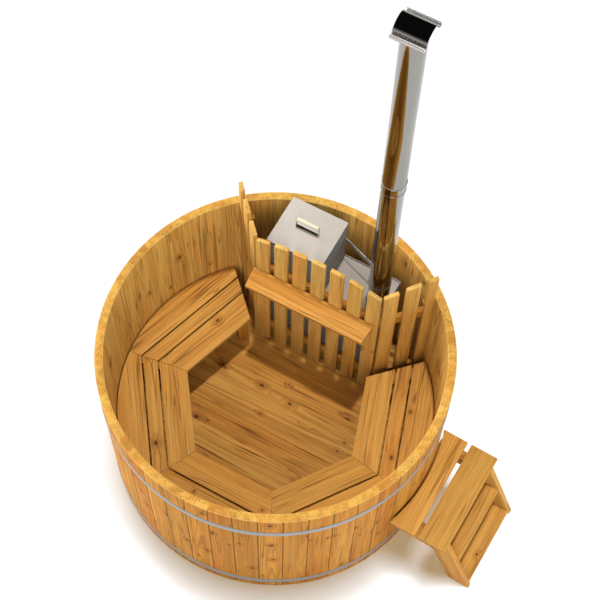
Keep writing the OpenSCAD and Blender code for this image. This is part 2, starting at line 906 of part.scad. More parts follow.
// Steel strip on the lid that turns up into an ear at each end of the grip
module lid_grip_bracket() {
    ear_mid = grip_l / 2 + ear_t / 2 + 0.1;
    color(aluminium)
        difference() {
            union() {
                translate([lid_x - ear_mid - ear_t / 2, lid_y - ear_w / 2, shaft_top + lid_t])
                    cube([2 * ear_mid + ear_t, ear_w, ear_t]);
                for (s = [-1, 1])
                    translate([lid_x + s * ear_mid - ear_t / 2, lid_y - ear_w / 2, shaft_top + lid_t])
                        cube([ear_t, ear_w, grip_lift]);
                at_grip() for (s = [-1, 1])
                    translate([0, 0, s * ear_mid]) cylinder(d = ear_w, h = ear_t, center = true);
            }
            at_grip() cylinder(d = pin_d + 0.2, h = 2 * grip_l, center = true);
        }
}

// Turned wooden bar held between the ears by its two short pins
module lid_grip() {
    color(wood_pale)
        at_grip() {
            cylinder(d = grip_d, h = grip_l, center = true);
            cylinder(d = pin_d, h = grip_l + 2 * ear_t + 2, center = true);
        }
}

// ---------- flue ----------

module flue_collar() {
    color(bright_steel)
        translate([flue_x, flue_y, 0]) {
            pipe(collar_r, collar_r - spigot_r + flue_wall, collar_z, collar_z + collar_t);
            pipe(spigot_r, flue_wall, collar_z, collar_z + collar_t + spigot_h);
        }
}

module flue_lower() {
    color(bright_steel)
        translate([flue_x, flue_y, 0])
            pipe(flue_r, flue_wall, collar_z + collar_t, flue_joint_z + flue_sleeve - 3);
}

// Upper pipe, whose wider lower end slides over the lower pipe, with a raised ring at both ends of the sleeve
module flue_upper() {
    z0 = flue_joint_z;
    z1 = flue_joint_z + flue_sleeve;
    out = sleeve_r + flue_wall;
    color(bright_steel)
        translate([flue_x, flue_y, 0]) {
            rotate_extrude()
                polygon([[sleeve_r, z0], [out, z0], [out, z1], [flue_r, z1 + 5], [flue_r, flue_top],
                         [flue_r - flue_wall, flue_top], [flue_r - flue_wall, z1 - 2.5], [sleeve_r, z1 - 2.5]]);
            for (z = [z0 + ring_r, z1 - ring_r])
                rotate_extrude()
                    difference() {
                        translate([out, z]) circle(r = ring_r, $fn = 24);
                        translate([out - 2 * ring_r - 0.5, z - 2 * ring_r]) square([2 * ring_r, 4 * ring_r]);
                    }
        }
}

// Band round the flue with a flat tab for the strut
module flue_clamp() {
    color(steel)
        difference() {
            union() {
                translate([flue_x, flue_y, strut_z - strut_h / 2])
                    cylinder(r = clamp_r + clamp_t, h = strut_h);
                translate([strut_start[0], strut_start[1], strut_z - strut_tab_h / 2])
                    rotate([0, 0, strut_a])
                        translate([strut_bolt_at - 14, -strut_t - 0.1, 0])
                            cube([strut_l - strut_bolt_at + 20, strut_t, strut_tab_h]);
            }
            translate([flue_x, flue_y, strut_z - strut_h])
                cylinder(r = clamp_r, h = 2 * strut_h);
            at_strut_bolt() cylinder(d = strut_bolt_d + 0.4, h = 6 * strut_t, center = true);
        }
}

// Places the children where the strut's bolt passes, along its axis
module at_strut_bolt() {
    translate([strut_start[0], strut_start[1], strut_z])
        rotate([0, 0, strut_a])
            translate([strut_bolt_at, 0, 0])
                rotate([90, 0, 0])
                    children();
}

module flue_strut() {
    color(steel)
        difference() {
            union() {
                translate([strut_start[0], strut_start[1], strut_z - strut_h / 2])
                    rotate([0, 0, strut_a]) cube([strut_l - 8, strut_t, strut_h]);
                translate([strut_start[0], strut_start[1] - strut_foot_l + strut_t, strut_z - strut_h / 2])
                    cube([strut_t, strut_foot_l, strut_h]);
            }
            translate([shaft_x1 - 20, stove_y, 0]) cube([20, stove_d, shaft_top]);
            at_strut_bolt() cylinder(d = strut_bolt_d + 0.4, h = 6 * strut_t, center = true);
        }
}

module strut_bolt() {
    color(bright_steel)
        at_strut_bolt() {
            translate([0, 0, -strut_t - 9]) cylinder(d = strut_bolt_d, h = 2 * strut_t + 16);
            translate([0, 0, -strut_t - 4.6]) cylinder(d = strut_bolt_d * 1.9, h = 4.5, $fn = 6);
            translate([0, 0, strut_t + 0.2]) cylinder(d = strut_bolt_d * 1.9, h = 4.5, $fn = 6);
        }
}

// One end curl of the cap, as an open ring that starts where the arch ends
module curl() {
    from_a = 270 - cap_a;
    reach = 3 * curl_r;
    difference() {
        circle(r = curl_r, $fn = 48);
        circle(r = curl_r - cap_t, $fn = 48);
        polygon([[0, 0], [reach * cos(from_a - 4), reach * sin(from_a - 4)],
                 [reach * cos(from_a - 50), reach * sin(from_a - 50)],
                 [reach * cos(from_a - 360 + curl_sweep), reach * sin(from_a - 360 + curl_sweep)]]);
    }
}

module rain_cap() {
    side = 2 * cap_r;
    end_r = cap_r + curl_r - cap_t;
    color(bright_steel)
        translate([flue_x - cap_l / 2, flue_y, cap_mid_z])
            rotate([90, 0, 90])
                linear_extrude(height = cap_l) {
                    difference() {
                        circle(r = cap_r);
                        circle(r = cap_r - cap_t);
                        for (s = [-1, 1])
                            polygon([[0, 0], [s * side * sin(cap_a), side * cos(cap_a)],
                                     [s * side, 0], [s * side, -side], [0, -side]]);
                    }
                    translate([end_r * sin(cap_a), end_r * cos(cap_a)]) curl();
                    mirror([1, 0]) translate([end_r * sin(cap_a), end_r * cos(cap_a)]) curl();
                }
}

// Two flat straps inside the flue's end that hold the cap above it
module cap_straps() {
    color(steel)
        for (s = [-1, 1])
            intersection() {
                translate([flue_x - strap_w / 2,
                           flue_y + s * (strap_y - strap_t / 2) - strap_t / 2, flue_top - strap_down])
                    cube([strap_w, strap_t, 2 * strap_down + cap_rise]);
                union() {
                    translate([flue_x, flue_y, cap_mid_z])
                        rotate([0, 90, 0]) cylinder(r = cap_in_r, h = cap_l, center = true);
                    translate([flue_x - strap_w, flue_y - cap_in_r, flue_top - strap_down - 1])
                        cube([2 * strap_w, 2 * cap_in_r, max(1, cap_mid_z - flue_top + strap_down + 1)]);
                }
            }
}

// ---------- steps ----------

module turned() {
    rotate([0, 0, steps_turn]) children();
}

module step_board_inner() {
    color(wood_light)
        turned()
            difference() {
                translate([board_cut_r * 0.9, -platform_l / 2, step_under])
                    cube([board_inner_end - board_cut_r * 0.9, platform_l, step_t]);
                translate([0, 0, step_under - 1]) cylinder(r = board_cut_r, h = step_t + 2);
                step_screw_holes();
            }
}

module step_board_outer() {
    color(wood_light)
        turned()
            difference() {
                translate([board_outer_start, -platform_l / 2, step_under])
                    cube([platform_board_w, platform_l, step_t]);
                step_screw_holes();
            }
}

module step_tread_middle() {
    color(wood_light)
        turned()
            translate([tread_front - tread_w, -side_in, tread_z - step_t]) cube([tread_w, 2 * side_in, step_t]);
}

module step_board_low() {
    color(wood_light)
        turned()
            translate([low_front - low_board_w, -side_in, 0]) cube([low_board_w, 2 * side_in, step_t]);
}

// Side board: a level arm that reaches the tub's wall and a leg that slants to the ground
module step_side(y0) {
    color(wood)
        turned()
            translate([0, y0 + step_t, 0])
                rotate([90, 0, 0])
                    linear_extrude(height = step_t)
                        polygon([[arm_start, step_under], [arm_front, step_under], [foot_tip, 0],
                                 [foot_tip - leg_foot_w, 0],
                                 [foot_tip - leg_foot_w - leg_lean * arm_under, arm_under],
                                 [arm_start, arm_under]]);
}

module step_side_left() step_side(side_in);

module step_side_right() step_side(-side_in - step_t);

// Batten on the tub's wall, with its back hollowed to fit the staves
module step_ledger() {
    color(wood)
        turned()
            difference() {
                translate([tub_r * 0.9, -side_in, step_under - ledger_h])
                    cube([tub_r * 0.1 + ledger_w, 2 * side_in, ledger_h]);
                translate([0, 0, step_under - ledger_h - 1]) cylinder(r = tub_r + clear, h = ledger_h + 2);
            }
}

// Small battens inside the side boards that carry the platform and the middle tread
module step_cleats() {
    c = cleat_w;
    top_start = tub_r + ledger_w + 4;
    color(wood)
        turned()
            difference() {
                for (y = [-side_in, side_in - c]) {
                    translate([top_start, y, step_under - c]) cube([arm_front - 24 - top_start, c, c]);
                    translate([tread_front - tread_w, y, tread_z - step_t - c]) cube([tread_w - 16, c, c]);
                }
                step_screw_holes();
            }
}

// Places the children below the cleats where a screw goes up into a platform board
module at_step_screws() {
    inner_mid = (tub_r + ledger_w + 4 + board_inner_end) / 2;
    outer_mid = board_outer_start + platform_board_w / 2;
    for (x = [inner_mid, outer_mid - 25, outer_mid + 25], s = [-1, 1])
        translate([x, s * (side_in - cleat_w / 2), step_under - cleat_w]) children();
}

module step_screw_holes() {
    at_step_screws() screw_hole(cleat_w + screw_bite);
}

module step_screws() {
    color(bright_steel)
        turned()
            at_step_screws() screw(cleat_w + screw_bite);
}

staves();
hoop_upper();
hoop_lower();
hoop_bolts();
floor_boards();
floor_bearers();
drain_fitting();
drain_nut();
drain_plug();
for (k = [1:bench_n], row = [0:2])
    bench_board(k, row);
bench_beams();
bench_legs();
bench_wall_blocks();
bench_screws();
pickets_front();
pickets_left();
pickets_right();
guard_rails_upper();
guard_rails_lower();
guard_wall_battens();
guard_screws();
shelf_board();
shelf_brackets();
stove_body();
stove_feet();
stove_grate();
stove_lid();
lid_grip();
lid_grip_bracket();
flue_collar();
flue_lower();
flue_upper();
flue_clamp();
flue_strut();
strut_bolt();
rain_cap();
cap_straps();
step_board_inner();
step_board_outer();
step_tread_middle();
step_board_low();
step_side_left();
step_side_right();
step_ledger();
step_cleats();
step_screws();
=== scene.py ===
import json
import math

import bmesh
import bpy
import numpy as np
from mathutils import Matrix, Vector


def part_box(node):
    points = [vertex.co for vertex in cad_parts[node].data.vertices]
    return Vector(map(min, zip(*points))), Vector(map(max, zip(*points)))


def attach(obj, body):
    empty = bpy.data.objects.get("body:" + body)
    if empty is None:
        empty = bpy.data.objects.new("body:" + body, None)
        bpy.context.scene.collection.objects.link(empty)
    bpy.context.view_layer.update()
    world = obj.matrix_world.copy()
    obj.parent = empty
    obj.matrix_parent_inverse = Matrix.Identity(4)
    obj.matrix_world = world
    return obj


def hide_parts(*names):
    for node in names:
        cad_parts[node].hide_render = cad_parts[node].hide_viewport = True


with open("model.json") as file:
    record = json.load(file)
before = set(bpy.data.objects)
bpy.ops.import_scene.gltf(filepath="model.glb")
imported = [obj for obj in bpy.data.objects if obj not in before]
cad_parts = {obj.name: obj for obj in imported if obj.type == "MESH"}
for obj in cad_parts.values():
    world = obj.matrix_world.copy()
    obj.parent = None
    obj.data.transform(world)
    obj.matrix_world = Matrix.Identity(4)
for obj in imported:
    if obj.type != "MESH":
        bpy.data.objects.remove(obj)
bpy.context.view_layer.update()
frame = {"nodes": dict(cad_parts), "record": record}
nodes = frame["nodes"]
record = frame["record"]
bodyOf = {node: body for body, members in record["behaviour"]["bodies"].items() for node in members}
print("frame loaded with", len(nodes), "nodes")

camera = {
    "place": (1.4542, -2.6235, 7.6540),
    "forward": (-0.2013, 0.3972, -0.8954),
    "roll": 0.0348,
    "lens": 87.27,
    "sensor": 36.0,
    "farthest": 100,
}

def setCamera():
    forward = Vector(camera["forward"]).normalized()
    level = forward.cross(Vector((0, 0, 1))).normalized()
    upright = level.cross(forward)
    cosRoll, sinRoll = math.cos(camera["roll"]), math.sin(camera["roll"])
    right = cosRoll * level + sinRoll * upright
    up = cosRoll * upright - sinRoll * level
    bpy.ops.object.camera_add(location=camera["place"])
    view = bpy.context.object
    turn = Matrix((right, up, -forward)).transposed().to_4x4()
    view.matrix_world = Matrix.Translation(camera["place"]) @ turn
    view.data.lens = camera["lens"]
    view.data.sensor_width = camera["sensor"]
    view.data.clip_end = camera["farthest"]
    bpy.context.scene.camera = view

setCamera()
print("camera set")

# how closely meshes are merged, which edges count as sharp and which new faces as narrow;
# in metres and degrees
meshWork = {
    "merge": 0.00002,
    "spinMerge": 0.00001,
    "flatAngle": 0.5,
    "sharpAngle": 35,
    "shortestEdge": 0.008,
    "bevelSegments": 2,
    "narrowFace": 1.5,
    "spinSteps": 128,
}

def workOn(piece):
    if bpy.context.object and bpy.context.object.mode != "OBJECT":
        bpy.ops.object.mode_set(mode="OBJECT")
    bpy.ops.object.select_all(action="DESELECT")
    piece.select_set(True)
    bpy.context.view_layer.objects.active = piece

def enterEdit(piece):
    workOn(piece)
    bpy.ops.object.mode_set(mode="EDIT")
    bpy.ops.mesh.select_mode(type="EDGE")

def leaveEdit():
    bpy.ops.object.mode_set(mode="OBJECT")

def copyNode(node, name):
    piece = bpy.data.objects.new(name, nodes[node].data.copy())
    piece.data.name = name
    piece.data.materials.clear()
    bpy.context.scene.collection.objects.link(piece)
    enterEdit(piece)
    bpy.ops.mesh.customdata_custom_splitnormals_clear()
    bpy.ops.mesh.select_all(action="SELECT")
    bpy.ops.mesh.remove_doubles(threshold=meshWork["merge"])
    bpy.ops.mesh.dissolve_limited(angle_limit=math.radians(meshWork["flatAngle"]))
    leaveEdit()
    return piece

# rounds the outward edges that are sharp and long enough, and marks the narrow new faces with a
# number that paints a highlight (above 0) or a dark joint (below 0) on them
def softenEdges(piece, width, shortest=meshWork["shortestEdge"], where=None, mark=1.0):
    enterEdit(piece)
    bpy.ops.mesh.select_all(action="DESELECT")
    mesh = bmesh.from_edit_mesh(piece.data)
    picked = 0
    for edge in mesh.edges:
        if len(edge.link_faces) != 2 or edge.calc_length() < shortest:
            continue
        if edge.calc_face_angle_signed(0) < math.radians(meshWork["sharpAngle"]):
            continue
        if where is None or where(edge):
            edge.select_set(True)
            picked += 1
    bmesh.update_edit_mesh(piece.data)
    if picked:
        bpy.ops.mesh.bevel(offset=width, segments=meshWork["bevelSegments"], affect="EDGES",
                           clamp_overlap=True)
        mesh = bmesh.from_edit_mesh(piece.data)
        layer = mesh.faces.layers.float.get("edge") or mesh.faces.layers.float.new("edge")
        for face in mesh.faces:
            longest = max(edge.calc_length() for edge in face.edges)
            if face.select and face.calc_area() < meshWork["narrowFace"] * width * longest:
                face[layer] = mark(face) if callable(mark) else mark
        bmesh.update_edit_mesh(piece.data)
    leaveEdit()

def smoothFaces(piece):
    workOn(piece)
    bpy.ops.object.shade_smooth_by_angle(angle=math.radians(meshWork["sharpAngle"]))

# a loop of edges through the points, left selected in edit mode; an open one lacks its last edge
def startLoop(name, points, closed):
    bpy.ops.object.select_all(action="DESELECT")
    bpy.ops.mesh.primitive_circle_add(vertices=len(points), fill_type="NOTHING")
    piece = bpy.context.object
    piece.name = piece.data.name = name
    for vertex, point in zip(piece.data.vertices, points):
        vertex.co = point
    enterEdit(piece)
    if not closed:
        bpy.ops.mesh.select_all(action="DESELECT")
        mesh = bmesh.from_edit_mesh(piece.data)
        ends = {0, len(points) - 1}
        for edge in mesh.edges:
            if {vertex.index for vertex in edge.verts} == ends:
                edge.select_set(True)
        bmesh.update_edit_mesh(piece.data)
        bpy.ops.mesh.delete(type="EDGE_FACE")
    bpy.ops.mesh.select_all(action="SELECT")
    return piece

# turns an outline of (radius, height) points round an upright axis
def spinOutline(name, outline, centre, steps=meshWork["spinSteps"], closed=True):
    points = [(centre[0] + radius, centre[1], height) for radius, height in outline]
    piece = startLoop(name, points, closed)
    bpy.ops.mesh.spin(steps=steps, angle=2 * math.pi, center=(centre[0], centre[1], 0),
                      axis=(0, 0, 1))
    bpy.ops.mesh.select_all(action="SELECT")
    bpy.ops.mesh.remove_doubles(threshold=meshWork["spinMerge"])
    bpy.ops.mesh.normals_make_consistent(inside=False)
    leaveEdit()
    return piece

def readNumbers(items, name, width, kind=float):
    numbers = np.zeros(len(items) * width, kind)
    items.foreach_get(name, numbers)
    return numbers.reshape(-1, width)

# the number of the board that each vertex belongs to, from the edges between them
def countBoards(total, ends):
    board = np.arange(total)
    while True:
        lowest = np.minimum(board[ends[:, 0]], board[ends[:, 1]])
        after = board.copy()
        np.minimum.at(after, ends[:, 0], lowest)
        np.minimum.at(after, ends[:, 1], lowest)
        after = after[after]
        if (after == board).all():
            return board
        board = after

# gives each board coordinates of its own, along, across and through it, and three random numbers
def layGrain(piece, seed):
    mesh = piece.data
    places = readNumbers(mesh.vertices, "co", 3)
    ends = readNumbers(mesh.edges, "vertices", 2, int)
    normals = readNumbers(mesh.polygons, "normal", 3)
    areas = readNumbers(mesh.polygons, "area", 1)
    first = np.array([polygon.vertices[0] for polygon in mesh.polygons])
    board = countBoards(len(places), ends)
    steps = places[ends[:, 1]] - places[ends[:, 0]]
    lengths = np.linalg.norm(steps, axis=1)
    grain = np.zeros(places.shape)
    chance = np.zeros(places.shape)
    dice = np.random.RandomState(seed)
    for label in np.unique(board):
        mine = board == label
        edges = np.where(board[ends[:, 0]] == label)[0]
        faces = np.where(board[first] == label)[0]
        along = steps[edges[np.argmax(lengths[edges])]]
        along = along / np.linalg.norm(along)
        flat = normals[faces] - (normals[faces] @ along)[:, None] * along
        spread = (flat * areas[faces]).T @ flat
        through = np.linalg.eigh(spread)[1][:, 2]
        through = through - (through @ along) * along
        through /= np.linalg.norm(through)
        across = np.cross(through, along)
        turned = np.array([along * dice.choice([-1, 1]), across * dice.choice([-1, 1]), through])
        local = places[mine] @ turned.T
        local -= (local.min(0) + local.max(0)) / 2
        grain[mine] = local
        chance[mine] = dice.rand(3)
    for name, values in (("grain", grain), ("seed", chance)):
        layer = mesh.attributes.new(name, "FLOAT_VECTOR", "POINT")
        layer.data.foreach_set("vector", values.astype(np.float32).ravel())

# hands a finished piece over: its look, the body it rides on and the nodes it stands for
def handOver(piece, look, *stands):
    piece.data.materials.clear()
    piece.data.materials.append(look)
    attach(piece, bodyOf[stands[0]])
    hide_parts(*stands)

# a display colour of 0 to 255 as the linear one that shaders take
def tint(red, green, blue):
    shares = [c / 255 for c in (red, green, blue)]
    return (*(((c + 0.055) / 1.055) ** 2.4 if c > 0.04 else c / 12.92 for c in shares), 1)

def addNode(tree, kind, **choices):
    node = tree.nodes.new(kind)
    for name, value in choices.items():
        setattr(node, name, value)
    return node

def feed(tree, socket, value):
    if isinstance(value, bpy.types.NodeSocket):
        tree.links.new(value, socket)
    else:
        socket.default_value = value

def calc(tree, operation, *values, clamp=False):
    node = addNode(tree, "ShaderNodeMath", operation=operation, use_clamp=clamp)
    for socket, value in zip(node.inputs, values):
        feed(tree, socket, value)
    return node.outputs[0]

def ramp(tree, value, low, high, start=0.0, end=1.0):
    node = addNode(tree, "ShaderNodeMapRange", interpolation_type="SMOOTHSTEP")
    for socket, number in zip(node.inputs, (value, low, high, start, end)):
        feed(tree, socket, number)
    return node.outputs[0]

def noise(tree, vector, scale, detail, roughness):
    node = addNode(tree, "ShaderNodeTexNoise", noise_dimensions="3D")
    given = {"Vector": vector, "Scale": scale, "Detail": detail, "Roughness": roughness}
    for name, value in given.items():
        feed(tree, node.inputs[name], value)
    return node.outputs[0]

def mixColour(tree, share, one, two, blend="MIX"):
    node = addNode(tree, "ShaderNodeMix", data_type="RGBA", blend_type=blend)
    for number, value in ((0, share), (6, one), (7, two)):
        feed(tree, node.inputs[number], value)
    return node.outputs[2]

def mixNumber(tree, share, one, two):
    node = addNode(tree, "ShaderNodeMix", data_type="FLOAT")
    for number, value in ((0, share), (2, one), (3, two)):
        feed(tree, node.inputs[number], value)
    return node.outputs[0]

def split(tree, vector):
    node = addNode(tree, "ShaderNodeSeparateXYZ")
    feed(tree, node.inputs[0], vector)
    return node.outputs

def combine(tree, x, y, z):
    node = addNode(tree, "ShaderNodeCombineXYZ")
    for socket, value in zip(node.inputs, (x, y, z)):
        feed(tree, socket, value)
    return node.outputs[0]

def readAttribute(tree, name, output):
    return addNode(tree, "ShaderNodeAttribute", attribute_name=name).outputs[output]

def addBump(tree, shader, height, strength, distance):
    bump = addNode(tree, "ShaderNodeBump")
    bump.inputs["Strength"].default_value = strength
    bump.inputs["Distance"].default_value = distance
    feed(tree, bump.inputs["Height"], height)
    feed(tree, shader.inputs["Normal"], bump.outputs[0])

def startGroup(name, inputs, outputs):
    group = bpy.data.node_groups.new(name, "ShaderNodeTree")
    for label, kind in inputs:
        group.interface.new_socket(label, in_out="INPUT", socket_type="NodeSocket" + kind)
    for label in outputs:
        group.interface.new_socket(label, in_out="OUTPUT", socket_type="NodeSocketFloat")
    return group, addNode(group, "NodeGroupInput"), addNode(group, "NodeGroupOutput")

def startMaterial(name):
    material = bpy.data.materials.new(name)
    material.use_nodes = True
    tree = material.node_tree
    return material, tree, tree.nodes["Principled BSDF"]

# each noise pattern: its stretch along the board, its stretch across it, its shift from board
# to board, its detail and its roughness
grainPatterns = {
    "sway": (1.3, 5.0, 3, 2.0, 0.5),
    "streaks": (0.6, 30.0, 11, 2.5, 0.6),
    "bands": (1.5, 9.0, 51, 1.0, 0.5),
    "veins": (0.4, 13.0, 67, 2.0, 0.55),
    "fade": (2.5, 30.0, 83, 1.0, 0.5),
    "fibre": (7.0, 260.0, 23, 2.0, 0.7),
}

# how rings, knots, streaks and veins lie and how soft they are; an "edge" is where a mark fades
grainMarks = {
    "boardShift": 40,
    "knotStretch": 0.7, "knotShift": 90, "knotLeast": 0.35, "knotSpread": 0.9,
    "knotEdge": (0.55, 1.0), "haloEdge": (0.6, 4.5),
    "sway": 0.05, "offCentre": -0.14, "slant": 0.07, "taper": 0.05,
    "heartLeast": 0.026, "heartSpread": 0.05, "knotPush": 0.9,
    "ringRise": (0.4, 0.86), "ringFall": (0.9, 1.0),
    "yearStep": 71.0, "yearLeast": 0.2, "yearSpread": 0.8,
    "streakEdge": (0.38, 0.64), "bandEdge": (0.32, 0.68),
    "veinPush": 0.06, "veinCount": 11.0, "veinEdge": (0.04, 0.17), "fadeEdge": (0.42, 0.62),
}

# growth rings of a sawn pine board, its knots, broad streaks, thin veins and fine fibres
def buildPineGrain():
    tree, given, result = startGroup(
        "pineGrain",
        [("Grain", "Vector"), ("Seed", "Vector"), ("Ring Width", "Float"),
         ("Knot Spacing", "Float"), ("Knot Size", "Float"), ("Knot Chance", "Float")],
        ["Rings", "Knots", "Halo", "Streaks", "Bands", "Veins", "Fibre"])

    def put(operation, *values):
        return calc(tree, operation, *values)

    along, across, through = split(tree, given.outputs["Grain"])
    one, two, three = split(tree, given.outputs["Seed"])

    def pattern(name):
        stretchAlong, stretchAcross, shift, detail, roughness = grainPatterns[name]
        shift += grainMarks["boardShift"]
        place = combine(tree, put("MULTIPLY_ADD", along, stretchAlong, put("MULTIPLY", one, shift)),
                        put("MULTIPLY_ADD", across, stretchAcross, put("MULTIPLY", two, shift)),
                        put("MULTIPLY_ADD", through, stretchAcross, put("MULTIPLY", three, shift)))
        return noise(tree, place, 1.0, detail, roughness)

    def fade(value, edge):
        return ramp(tree, value, *edge, 1.0, 0.0)

    # knots sit in the cells of a pattern that is longer along the board
    spacing = given.outputs["Knot Spacing"]
    perMetre = put("DIVIDE", 1.0, spacing)
    shift = grainMarks["knotShift"]
    knotAlong = put("MULTIPLY_ADD", put("MULTIPLY", along, perMetre), grainMarks["knotStretch"],
                    put("MULTIPLY", one, shift))
    knotAcross = put("MULTIPLY_ADD", across, perMetre, put("MULTIPLY", two, shift))
    cells = addNode(tree, "ShaderNodeTexVoronoi", voronoi_dimensions="2D")
    feed(tree, cells.inputs["Vector"], combine(tree, knotAlong, knotAcross, 0.0))
    cells.inputs["Scale"].default_value = 1.0
    luck = addNode(tree, "ShaderNodeSeparateColor")
    feed(tree, luck.inputs[0], cells.outputs["Color"])
    exists = put("LESS_THAN", luck.outputs[0], given.outputs["Knot Chance"])
    away = put("MULTIPLY", cells.outputs["Distance"], spacing)
    share = put("MULTIPLY_ADD", luck.outputs[1],
                grainMarks["knotSpread"], grainMarks["knotLeast"])
    size = put("MULTIPLY", given.outputs["Knot Size"], share)
    ratio = put("DIVIDE", away, size)
    knots = put("MULTIPLY", fade(ratio, grainMarks["knotEdge"]), exists)
    halo = put("MULTIPLY", fade(ratio, grainMarks["haloEdge"]), exists)

    # rings lie round the heart of the trunk, which is off the board's middle and on a slant
    sway = put("SUBTRACT", pattern("sway"), 0.5)
    offCentre = put("MULTIPLY_ADD", put("SUBTRACT", two, 0.5), grainMarks["offCentre"], across)
    slant = put("MULTIPLY", along, grainMarks["slant"])
    slanted = put("MULTIPLY_ADD", put("SUBTRACT", three, 0.5), slant, offCentre)
    swayed = put("MULTIPLY_ADD", sway, grainMarks["sway"], slanted)
    heart = put("MULTIPLY_ADD", three, grainMarks["heartSpread"], grainMarks["heartLeast"])
    deep = put("ADD", through, heart)
    radius = put("SQRT", put("ADD", put("MULTIPLY", swayed, swayed), put("MULTIPLY", deep, deep)))
    taper = put("MULTIPLY", along, grainMarks["taper"])
    tapered = put("MULTIPLY_ADD", put("SUBTRACT", one, 0.5), taper, radius)
    pushed = put("MULTIPLY_ADD", halo, put("MULTIPLY", size, grainMarks["knotPush"]), tapered)
    ring = put("DIVIDE", pushed, given.outputs["Ring Width"])
    part = put("FRACT", ring)
    rise = ramp(tree, part, *grainMarks["ringRise"])
    late = put("MULTIPLY", rise, fade(part, grainMarks["ringFall"]))
    year = addNode(tree, "ShaderNodeTexWhiteNoise", noise_dimensions="1D")
    number = put("MULTIPLY_ADD", one, grainMarks["yearStep"], put("FLOOR", ring))
    feed(tree, year.inputs["W"], number)
    strength = put("MULTIPLY_ADD", year.outputs[0],
                   grainMarks["yearSpread"], grainMarks["yearLeast"])

    # veins are the level lines of a slow pattern, and fade in and out
    slow = pattern("veins")
    bent = put("MULTIPLY_ADD", halo, grainMarks["veinPush"], slow)
    level = put("MULTIPLY", bent, grainMarks["veinCount"])
    offLine = put("ABSOLUTE", put("SUBTRACT", put("FRACT", level), 0.5))
    faint = ramp(tree, pattern("fade"), *grainMarks["fadeEdge"])
    veins = put("MULTIPLY", fade(offLine, grainMarks["veinEdge"]), faint)

    streaks = ramp(tree, pattern("streaks"), *grainMarks["streakEdge"])
    bands = ramp(tree, pattern("bands"), *grainMarks["bandEdge"])
    feed(tree, result.inputs["Rings"], put("MULTIPLY", late, strength))
    feed(tree, result.inputs["Knots"], knots)
    feed(tree, result.inputs["Halo"], halo)
    feed(tree, result.inputs["Streaks"], streaks)
    feed(tree, result.inputs["Bands"], bands)
    feed(tree, result.inputs["Veins"], veins)
    feed(tree, result.inputs["Fibre"], pattern("fibre"))
    return tree

pineGrain = buildPineGrain()

# colours of new pine; each board picks its own from the range "boards"
pine = {
    "boards": [(0.0, (224, 155, 62)), (0.35, (242, 167, 69)),
               (0.7, (237, 157, 61)), (1.0, (228, 144, 53))],
    "lateWood": (152, 86, 22),
    "streak": (182, 108, 28),
    "band": (246, 182, 78),
    "vein": (108, 54, 10),
    "knot": (74, 36, 12),
    "halo": (168, 92, 26),
    "joint": (96, 56, 22),
    # "edge" is a painted highlight laid on rounded edges
    "edge": (252, 206, 120),
    "bounce": (176, 152, 116),
}

# how far each mark of the grain shows, and the sizes of rings and knots in metres
pineLook = {
    "rings": 0.5, "streaks": 0.5, "bands": 0.4, "veins": 0.6, "halo": 0.55, "knots": 0.9,
    # "edge" is how strongly the painted highlight shows on rounded edges
    "joint": 0.7, "edge": 0.35, "shade": 1.0,
    "ringWidth": 0.009, "knotSpacing": 0.18, "knotSize": 0.010, "knotChance": 0.4,
    "toneSpread": 7.3, "fibreEdge": (0.3, 0.7), "fibreTone": (0.86, 1.07), "bounce": 0.7,
    "roughness": 0.56, "ringGloss": -0.12, "fibreRough": 0.16, "specular": 0.15,
    "ringHeight": 0.6, "fibreHeight": 0.5, "veinHeight": -0.5, "bump": 0.35, "bumpDepth": 0.0006,
}

